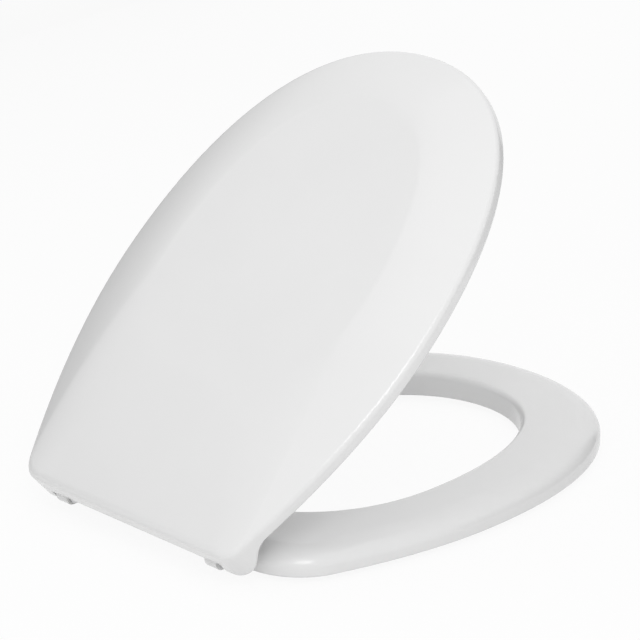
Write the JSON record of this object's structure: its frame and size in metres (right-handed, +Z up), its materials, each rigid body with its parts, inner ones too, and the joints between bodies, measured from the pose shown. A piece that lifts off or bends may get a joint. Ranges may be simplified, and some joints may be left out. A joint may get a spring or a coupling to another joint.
{
  "type": "toilet seat",
  "caption": "Oval toilet seat with a crowned lid and a domed open ring that swing on a common hinge axis, for covering a toilet pan.",
  "frame": {"origin": "on the hinge axis, midway between the two pan fixings", "axes": "+Z up off the pan, +X along the hinge axis, the front of the seat along -Y"},
  "size_m": [0.351, 0.4712, 0.3291],
  "materials": {
    "moulding": "high gloss white, moulded",
    "pin_steel": "turned stainless steel",
    "bush": "natural white bearing plastic",
    "buffer": "soft matt white"
  },
  "bodies": {
    "root": {"hinge_pin_left": "pin_steel", "hinge_pin_right": "pin_steel"},
    "ring": {"seat_ring": "moulding", "ring_bush_left": "bush", "ring_bush_right": "bush", "ring_buffer_front_left": "buffer", "ring_buffer_front_right": "buffer", "ring_buffer_rear_left": "buffer", "ring_buffer_rear_right": "buffer"},
    "lid": {"lid": "moulding", "lid_bush_left": "bush", "lid_bush_right": "bush", "lid_buffer_left": "buffer", "lid_buffer_right": "buffer"}
  },
  "joints": [
    {"name": "ring_hinge", "type": "hinge", "parent": "root", "child": "ring", "pos_m": [0, 0, 0], "axis": [-1, 0, 0], "range_deg": [0, 95]},
    {"name": "lid_hinge", "type": "hinge", "parent": "ring", "child": "lid", "pos_m": [0, 0, 0], "axis": [-1, 0, 0], "range_deg": [-41.9, 58.1]}
  ]
}
